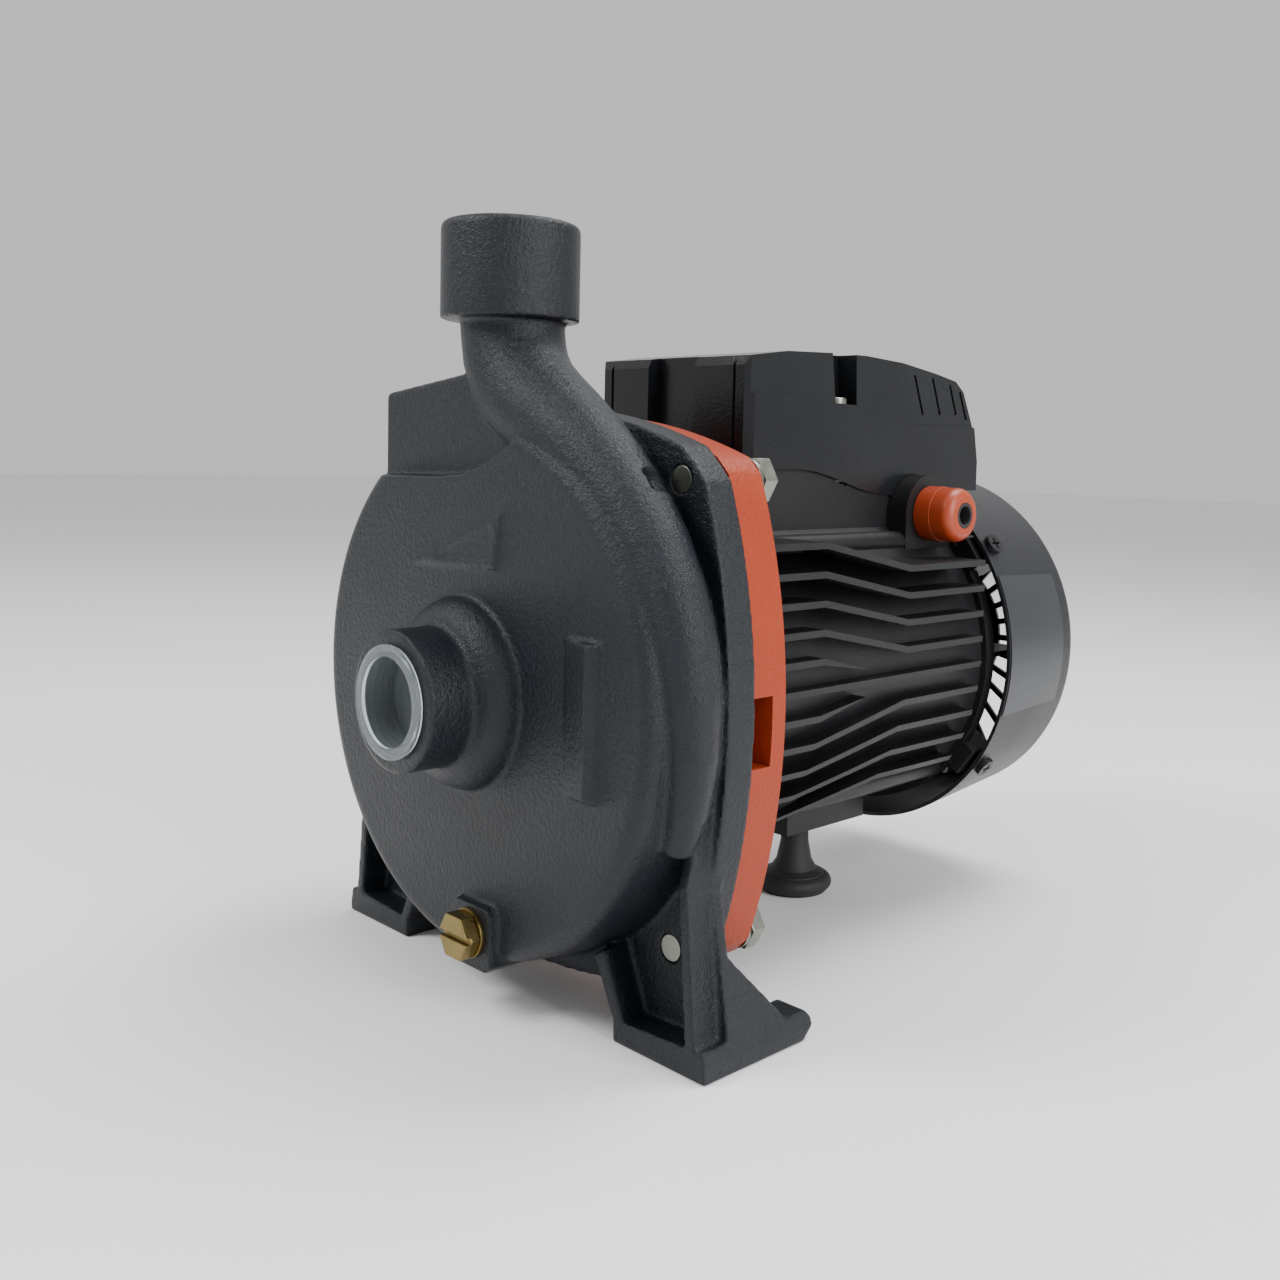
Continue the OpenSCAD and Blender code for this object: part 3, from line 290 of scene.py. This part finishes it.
# %% Plug plastic
plug_plastic = finish("plug_plastic", (0.62, 0.68, 0.71), (0.70, 0.76, 0.79), (0.16, 0.24), 900,
                      0.00008)
plug_shader = plug_plastic.node_tree.nodes["Principled BSDF"]
plug_shader.inputs["Transmission Weight"].default_value = 0.88
plug_shader.inputs["IOR"].default_value = 1.3
plug_shader.inputs["Subsurface Weight"].default_value = 0.05
plug_shader.inputs["Subsurface Radius"].default_value = (0.003, 0.003, 0.003)
print("finishes", len(bpy.data.materials))

# %% [markdown]
# ## Which finish goes where
# Each CAD node is one physical piece, so each gets one finish. The pieces made further down look
# their finish up here too, which keeps a copy and its original alike.

# %% Dress the CAD nodes
FINISH_OF = {
    "drain_plug": yellow_brass, "drain_plug_washer": yellow_brass, "impeller": yellow_brass,
    "impeller_key": turned_steel, "impeller_nut": turned_steel, "seal_seat": pale_ceramic,
    "seal_carbon_ring": carbon, "seal_spring": turned_steel, "seal_cup": black_rubber,
    "casing_o_ring": black_rubber, "casing_bolts": zinc_plate, "bolt_washers": zinc_plate,
    "shaft": turned_steel, "water_slinger": black_rubber, "bearing_wave_washer": turned_steel,
    "rotor_core": core_steel, "stator_core": core_steel, "stator_windings": winding_enamel,
    "rear_endshield": motor_paint, "tie_rods": zinc_plate, "tie_rod_nuts": zinc_plate,
    "cooling_fan": fan_plastic, "fan_circlip": turned_steel, "fan_cover": wrinkle_paint,
    "fan_cover_screws": screw_black, "rating_label": label_foil, "lid_gasket": black_rubber,
    "lid_screws": zinc_plate, "terminal_block": pale_ceramic, "terminal_screws": yellow_brass,
    "run_capacitor": capacitor_shell, "capacitor_clip": turned_steel, "gland_body": gland_plastic,
    "gland_cap_nut": gland_plastic, "gland_grommet": black_rubber, "motor_stand": black_rubber,
    "stand_screw": zinc_plate, "earth_screw": zinc_plate, "pump_casing": casting_paint,
    "bracket": bracket_paint, "motor_housing": motor_paint, "terminal_box_lid": lid_plastic,
    "suction_port_plug": plug_plastic, "discharge_branch": casting_paint,
    "foot_left": casting_paint, "foot_right": casting_paint,
}
for end in ("front", "rear"):
    for part in ("outer_ring", "inner_ring", "balls"):
        FINISH_OF[f"{end}_bearing_{part}"] = turned_steel
for name, cad_object in nodes.items():
    cad_object.data.materials.clear()
    cad_object.data.materials.append(FINISH_OF[name])
print("dressed", len(nodes), "nodes")

# %% [markdown]
# ## Cast skins
# A sand casting has no sharp edges: every corner has a radius and every inside corner a fillet.
# The CAD solid is exact but sharp, so a merged copy of it is remeshed into small even cells and
# smoothed. That rounds every edge and inside corner alike, as the mould does.

# %% Copy and modifier helpers
BODY_OF = {n: b for b, members in frame["record"]["behaviour"]["bodies"].items() for n in members}


def merged_copy(node, name):
    bm = bmesh.new()
    bm.from_mesh(nodes[node].data)
    bmesh.ops.remove_doubles(bm, verts=bm.verts, dist=1e-6)
    mesh = bpy.data.meshes.new(name)
    bm.to_mesh(mesh)
    bm.free()
    piece = bpy.data.objects.new(name, mesh)
    bpy.context.scene.collection.objects.link(piece)
    return piece


def bake_modifiers(piece):
    graph = bpy.context.evaluated_depsgraph_get()
    result = bpy.data.meshes.new_from_object(piece.evaluated_get(graph))
    piece.modifiers.clear()
    piece.data = result
    return piece


def boolean(piece, other, operation):
    step = piece.modifiers.new("boolean", "BOOLEAN")
    step.operation = operation
    step.solver = "EXACT"
    step.object = other
    bake_modifiers(piece)
    bpy.data.objects.remove(other)


def stand_for(piece, *replaced):
    piece.data.materials.clear()
    piece.data.materials.append(FINISH_OF[replaced[0]])
    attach(piece, BODY_OF[replaced[0]])
    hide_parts(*replaced)


# %% [markdown]
# Voxel remeshing rebuilds the surface from even cells, and smoothing then rounds it. The
# decimate step keeps the piece light enough to render and export.

# %% Cast skin helper


def cast_skin(piece, cell, rounds, budget):
    remesh = piece.modifiers.new("cells", "REMESH")
    remesh.mode = "VOXEL"
    remesh.voxel_size = cell
    soften = piece.modifiers.new("soften", "SMOOTH")
    soften.factor = 0.5
    soften.iterations = rounds
    bake_modifiers(piece)
    faces = len(piece.data.polygons) * 2
    if faces > budget:
        thin = piece.modifiers.new("thin", "DECIMATE")
        thin.ratio = budget / faces
        bake_modifiers(piece)
    piece.data.polygons.foreach_set("use_smooth", [True] * len(piece.data.polygons))
    print(piece.name, "cells", faces, "kept", len(piece.data.polygons))


# %% [markdown]
# The casing, its delivery branch and both feet are one casting, so their solids are joined
# before the skin is made. No seam is left between them.

# %% Cast pump casing
casing = merged_copy("pump_casing", "cast_casing")
for part in ("discharge_branch", "foot_left", "foot_right"):
    boolean(casing, merged_copy(part, part + "_copy"), "UNION")
cast_skin(casing, 0.00075, 5, 190000)

# %% [markdown]
# ## Machined ports
# After casting, both ports are bored and tapped, so their mouths are crisp against the soft
# skin. A boolean with a plain cylinder makes each bore. The thread is one notched edge spun
# round the axis while it climbs, which is the path a tap takes.

# %% Port bore and thread
PORT_TOP = Matrix.Translation((0, FLANGE_Y - 0.0095, 0.240))
PORT_FRONT = (Matrix.Translation((0, FLANGE_Y - 0.0506, SHAFT_Z))
              @ Matrix.Rotation(math.pi / 2, 4, "X"))
BORE_R, CREST_R, PITCH = 16.35 * MM, 15.2 * MM, 2.309 * MM
STEPS_PER_TURN = 64


def bore_tool(place, depth):
    bm = bmesh.new()
    drop = Matrix.Translation((0, 0, 0.001 - depth / 2))
    bmesh.ops.create_cone(bm, cap_ends=True, segments=96, radius1=BORE_R, radius2=BORE_R,
                          depth=depth + 0.002, matrix=place @ drop)
    mesh = bpy.data.meshes.new("bore_tool")
    bm.to_mesh(mesh)
    bm.free()
    tool = bpy.data.objects.new("bore_tool", mesh)
    bpy.context.scene.collection.objects.link(tool)
    return tool


def port_thread(name, place, turns):
    bm = bmesh.new()
    foot = -(turns + 1.4) * PITCH
    chain = [(BORE_R + 0.0001, foot), (CREST_R, foot + 0.42 * PITCH),
             (CREST_R, foot + 0.58 * PITCH), (BORE_R + 0.0001, foot + PITCH)]
    verts = [bm.verts.new((r, 0, z)) for r, z in chain]
    edges = [bm.edges.new(pair) for pair in zip(verts, verts[1:])]
    bmesh.ops.spin(bm, geom=verts + edges, cent=(0, 0, 0), axis=(0, 0, 1),
                   dvec=(0, 0, PITCH / STEPS_PER_TURN), angle=2 * math.pi * turns,
                   steps=int(turns * STEPS_PER_TURN))
    bmesh.ops.recalc_face_normals(bm, faces=bm.faces)
    bmesh.ops.reverse_faces(bm, faces=bm.faces)
    bmesh.ops.transform(bm, matrix=place, verts=bm.verts)
    mesh = bpy.data.meshes.new(name)
    bm.to_mesh(mesh)
    bm.free()
    thread = bpy.data.objects.new(name, mesh)
    bpy.context.scene.collection.objects.link(thread)
    thread.data.materials.append(casting_paint)
    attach(thread, "pump_body")
    print(name, "faces", len(mesh.polygons))


boolean(casing, bore_tool(PORT_TOP, 0.019), "DIFFERENCE")
boolean(casing, bore_tool(PORT_FRONT, 0.018), "DIFFERENCE")
casing.data.polygons.foreach_set("use_smooth", [True] * len(casing.data.polygons))
casing.data.set_sharp_from_angle(angle=math.radians(50))
stand_for(casing, "pump_casing", "discharge_branch", "foot_left", "foot_right")
port_thread("discharge_thread", PORT_TOP, 6.5)
port_thread("suction_thread", PORT_FRONT, 6)

# %% [markdown]
# ## Eased edges
# Pressed, moulded and machined parts keep crisp edges, but no real edge is a mathematical line.
# A narrow bevel on each sharp edge catches a bright line of light, which is what makes a small
# part read as solid. Flat faces are merged first so that the bevel follows only real edges.

# %% Eased edge helper


def eased(node, width, segments=2, angle=28, tools=()):
    piece = merged_copy(node, "eased_" + node)
    for tool in tools:
        boolean(piece, tool, "DIFFERENCE")
    bm = bmesh.new()
    bm.from_mesh(piece.data)
    bmesh.ops.dissolve_limit(bm, angle_limit=math.radians(1), verts=bm.verts, edges=bm.edges)
    bm.to_mesh(piece.data)
    bm.free()
    bevel = piece.modifiers.new("ease", "BEVEL")
    bevel.width = width * MM
    bevel.segments = segments
    bevel.limit_method = "ANGLE"
    bevel.angle_limit = math.radians(angle)
    bevel.use_clamp_overlap = True
    bevel.miter_outer = "MITER_ARC"
    bevel.harden_normals = False
    bake_modifiers(piece)
    piece.data.polygons.foreach_set("use_smooth", [True] * len(piece.data.polygons))
    piece.data.set_sharp_from_angle(angle=math.radians(32))
    shade = piece.modifiers.new("shade", "WEIGHTED_NORMAL")
    shade.keep_sharp = True
    bake_modifiers(piece)
    stand_for(piece, node)
    return len(piece.data.polygons)


# %% Bracket and motor
print("bracket", eased("bracket", 1.2, 3))
print("housing", eased("motor_housing", 0.3))
print("endshield", eased("rear_endshield", 0.4))

# %% [markdown]
# ## Terminal box lid
# The moulded lid has four short slanting grooves near the back of each side and an upright
# groove beside each front corner. Each groove is a thin box cut out of the lid before its
# edges are eased, so the groove's own edges get the same small radius.

# %% Lid grooves and lid
GROOVES = [(151.5, 106.4, 157.6, 91.6), (163.2, 105.9, 168.8, 92), (174.8, 103.9, 179.7, 92.5),
           (181.8, 101.5, 186.8, 90.8)]


def groove_tool(side):
    bm = bmesh.new()
    for y0, z0, y1, z1 in GROOVES:
        middle = Vector((side * 37.2 * MM, FLANGE_Y + (y0 + y1) / 2 * MM,
                         SHAFT_Z + (z0 + z1) / 2 * MM))
        slant = Matrix.Rotation(math.atan2(y0 - y1, z0 - z1) * -1, 4, "X")
        size = Matrix.Diagonal((2.6 * MM, 1.3 * MM, math.hypot(y1 - y0, z1 - z0) * MM, 1))
        bmesh.ops.create_cube(bm, size=1, matrix=Matrix.Translation(middle) @ slant @ size)
    middle = Vector((side * 30.5 * MM, FLANGE_Y + 59.4 * MM, SHAFT_Z + 91 * MM))
    size = Matrix.Diagonal((1.2 * MM, 1.4 * MM, 34 * MM, 1))
    bmesh.ops.create_cube(bm, size=1, matrix=Matrix.Translation(middle) @ size)
    mesh = bpy.data.meshes.new("groove_tool")
    bm.to_mesh(mesh)
    bm.free()
    tool = bpy.data.objects.new("groove_tool", mesh)
    bpy.context.scene.collection.objects.link(tool)
    return tool


print("lid", eased("terminal_box_lid", 0.6, 3, 20, (groove_tool(1), groove_tool(-1))))

# %% [markdown]
# ## Small parts
# Screws, nuts, washers, the gland and the plugs each get a bevel suited to their size, in
# millimetres: a wide one on moulded parts and a narrow one on pressed or turned parts.

# %% Small parts
EASE = {
    "casing_bolts": 0.4, "bolt_washers": 0.2, "tie_rod_nuts": 0.3, "tie_rods": 0.2,
    "fan_cover_screws": 0.2, "lid_screws": 0.25, "earth_screw": 0.25, "stand_screw": 0.3,
    "drain_plug": 0.6, "drain_plug_washer": 0.2, "gland_body": 0.4, "gland_cap_nut": 0.6,
    "gland_grommet": 0.4, "motor_stand": 0.6, "cooling_fan": 0.3, "impeller": 0.4,
    "suction_port_plug": 0.5, "rating_label": 0.1, "shaft": 0.2, "impeller_nut": 0.3,
}
for node, width in EASE.items():
    print(node, eased(node, width))
